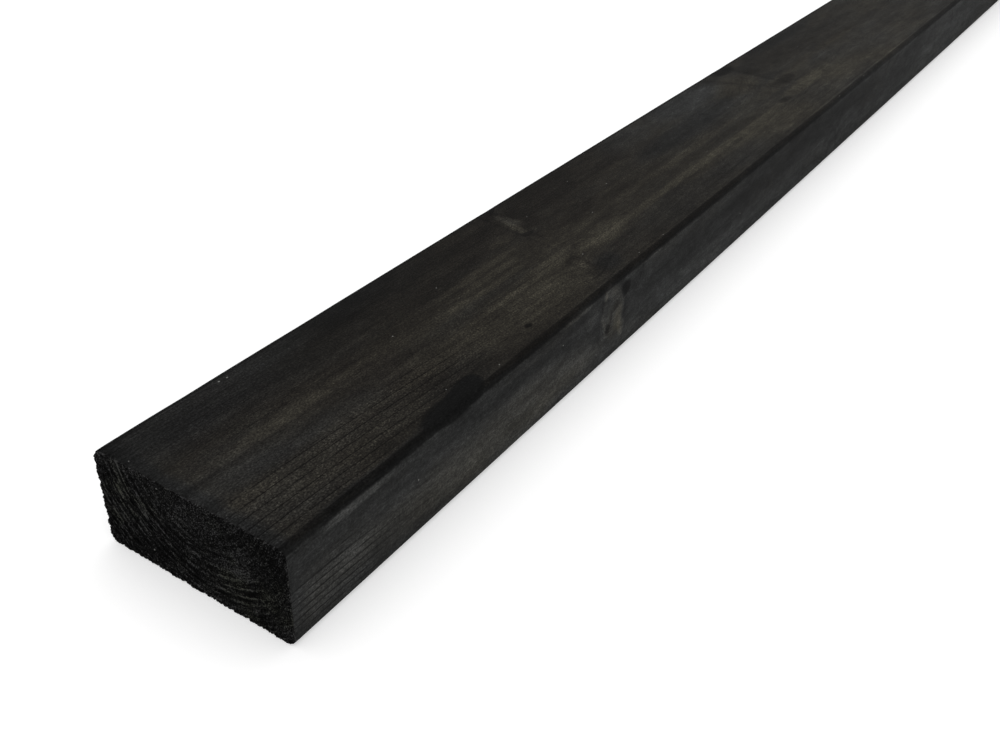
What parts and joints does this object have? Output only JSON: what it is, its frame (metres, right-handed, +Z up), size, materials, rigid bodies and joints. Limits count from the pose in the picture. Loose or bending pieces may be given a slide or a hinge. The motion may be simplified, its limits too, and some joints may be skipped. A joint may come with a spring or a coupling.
{
  "type": "timber stud",
  "caption": "Straight planed softwood stud with a rectangular section, rounded arrises and square sawn ends, stained black.",
  "frame": {"origin": "middle of the wide face that the stud lies on", "axes": "+X along the stud, from the end the picture shows to the far end; +Y across the wide face; +Z up through the thickness"},
  "size_m": [2.4, 0.095, 0.045],
  "materials": {
    "black_stained_softwood": "planed, impregnated black, matt with a slight sheen"
  },
  "bodies": {
    "root": {"stud": "black_stained_softwood"}
  },
  "joints": []
}
